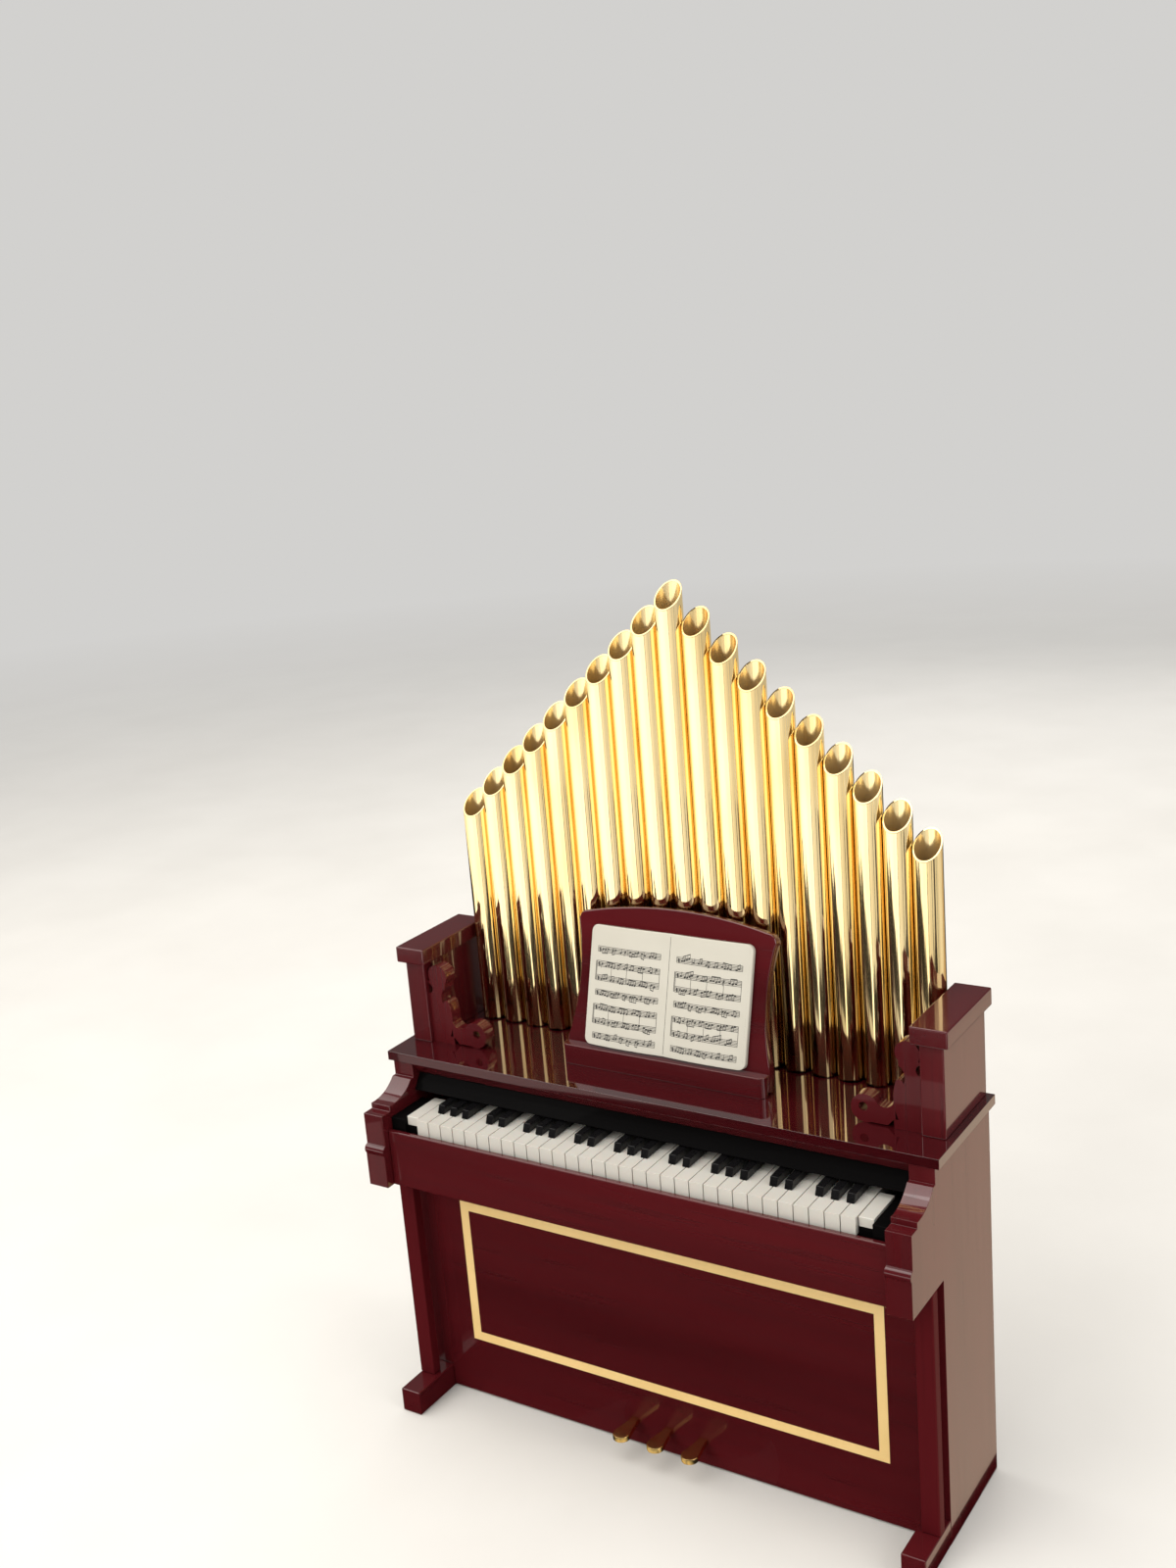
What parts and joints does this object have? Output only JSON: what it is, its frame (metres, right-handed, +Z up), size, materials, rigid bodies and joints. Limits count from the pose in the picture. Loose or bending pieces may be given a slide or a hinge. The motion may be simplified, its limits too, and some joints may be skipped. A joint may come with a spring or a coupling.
{
  "type": "electronic music box",
  "caption": "Miniature upright organ music box: lacquered cabinet with self-playing keys, a stepped row of brass pipes, scroll brackets, a music desk with a songbook, and controls at the back.",
  "frame": {"origin": "middle of the underside, on the surface the cabinet stands on", "axes": "+Z up, the keyboard side looks along -Y, +X to the right as seen from the front"},
  "size_m": [0.25, 0.082, 0.3608],
  "materials": {
    "red_lacquer": "glossy mahogany-red lacquer",
    "black_lacquer": "glossy black lacquer",
    "plain_wood": "stained wood, satin",
    "pipe_brass": "polished",
    "inlay_gold": "satin gold",
    "pedal_brass": "polished",
    "ivory": "gloss ivory",
    "ebony": "gloss black",
    "porcelain": "glazed white",
    "steel": "zinc plated",
    "black_plastic": "matte black",
    "cone_paper": "black paper",
    "ferrite": "dull grey",
    "board_green": "green board",
    "copper_wire": "enamelled copper wire"
  },
  "bodies": {
    "cabinet": {"left_side_panel": "red_lacquer", "right_side_panel": "red_lacquer", "left_leg": "red_lacquer", "right_leg": "red_lacquer", "left_foot": "red_lacquer", "right_foot": "red_lacquer", "kneeboard": "red_lacquer", "inlay_frame": "inlay_gold", "pedals": "pedal_brass", "base_board": "plain_wood", "key_bed": "plain_wood", "keyslip": "red_lacquer", "fallboard": "black_lacquer", "fall_rail": "red_lacquer", "shelf": "red_lacquer", "left_post": "red_lacquer", "right_post": "red_lacquer", "left_cap": "red_lacquer", "right_cap": "red_lacquer", "left_bracket": "red_lacquer", "right_bracket": "red_lacquer", "organ_pipes": "pipe_brass", "pipe_dowels": "plain_wood", "desk_panel": "red_lacquer", "desk_ledge": "red_lacquer", "songbook": "porcelain", "back_panel": "plain_wood", "back_screws": "steel", "inlet_jack": "black_plastic", "speaker_basket": "steel", "speaker_cone": "cone_paper", "speaker_magnet": "ferrite", "circuit_board": "board_green", "board_parts": "black_plastic", "end_keys": "ivory", "key_cheeks": "black_lacquer", "pivot_rod": "steel", "keeper_channel": "steel", "coil_rail": "steel", "key_coils": "copper_wire"},
    "key_group_1": {"white_keys_1": "ivory", "black_keys_1": "ebony"},
    "key_group_2": {"white_keys_2": "ivory", "black_keys_2": "ebony"},
    "key_group_3": {"white_keys_3": "ivory", "black_keys_3": "ebony"},
    "key_group_4": {"white_keys_4": "ivory", "black_keys_4": "ebony"},
    "key_group_5": {"white_keys_5": "ivory", "black_keys_5": "ebony"},
    "key_group_6": {"white_keys_6": "ivory", "black_keys_6": "ebony"},
    "key_group_7": {"white_keys_7": "ivory", "black_keys_7": "ebony"},
    "key_group_8": {"white_keys_8": "ivory", "black_keys_8": "ebony"},
    "key_group_9": {"white_keys_9": "ivory", "black_keys_9": "ebony"},
    "knob": {"volume_knob": "black_plastic"},
    "switch": {"mode_switch": "black_plastic"}
  },
  "joints": [
    {"name": "key_group_1_dip", "type": "hinge", "parent": "cabinet", "child": "key_group_1", "pos_m": [0, 0.005, 0.14], "axis": [1, 0, 0], "range_deg": [0, 3], "stiffness_Nm_per_rad": 0.05, "springref_deg": -5.73},
    {"name": "key_group_2_dip", "type": "hinge", "parent": "cabinet", "child": "key_group_2", "pos_m": [0, 0.005, 0.14], "axis": [1, 0, 0], "range_deg": [0, 3], "stiffness_Nm_per_rad": 0.05, "springref_deg": -5.73},
    {"name": "key_group_3_dip", "type": "hinge", "parent": "cabinet", "child": "key_group_3", "pos_m": [0, 0.005, 0.14], "axis": [1, 0, 0], "range_deg": [0, 3], "stiffness_Nm_per_rad": 0.05, "springref_deg": -5.73},
    {"name": "key_group_4_dip", "type": "hinge", "parent": "cabinet", "child": "key_group_4", "pos_m": [0, 0.005, 0.14], "axis": [1, 0, 0], "range_deg": [0, 3], "stiffness_Nm_per_rad": 0.05, "springref_deg": -5.73},
    {"name": "key_group_5_dip", "type": "hinge", "parent": "cabinet", "child": "key_group_5", "pos_m": [0, 0.005, 0.14], "axis": [1, 0, 0], "range_deg": [0, 3], "stiffness_Nm_per_rad": 0.05, "springref_deg": -5.73},
    {"name": "key_group_6_dip", "type": "hinge", "parent": "cabinet", "child": "key_group_6", "pos_m": [0, 0.005, 0.14], "axis": [1, 0, 0], "range_deg": [0, 3], "stiffness_Nm_per_rad": 0.05, "springref_deg": -5.73},
    {"name": "key_group_7_dip", "type": "hinge", "parent": "cabinet", "child": "key_group_7", "pos_m": [0, 0.005, 0.14], "axis": [1, 0, 0], "range_deg": [0, 3], "stiffness_Nm_per_rad": 0.05, "springref_deg": -5.73},
    {"name": "key_group_8_dip", "type": "hinge", "parent": "cabinet", "child": "key_group_8", "pos_m": [0, 0.005, 0.14], "axis": [1, 0, 0], "range_deg": [0, 3], "stiffness_Nm_per_rad": 0.05, "springref_deg": -5.73},
    {"name": "key_group_9_dip", "type": "hinge", "parent": "cabinet", "child": "key_group_9", "pos_m": [0, 0.005, 0.14], "axis": [1, 0, 0], "range_deg": [0, 3], "stiffness_Nm_per_rad": 0.05, "springref_deg": -5.73},
    {"name": "volume_turn", "type": "hinge", "parent": "cabinet", "child": "knob", "pos_m": [-0.062, 0.0365, 0.034], "axis": [0, 1, 0], "range_deg": [-135, 135]},
    {"name": "mode_slide", "type": "slide", "parent": "cabinet", "child": "switch", "axis": [1, 0, 0], "range_m": [-0.003, 0.003]}
  ]
}
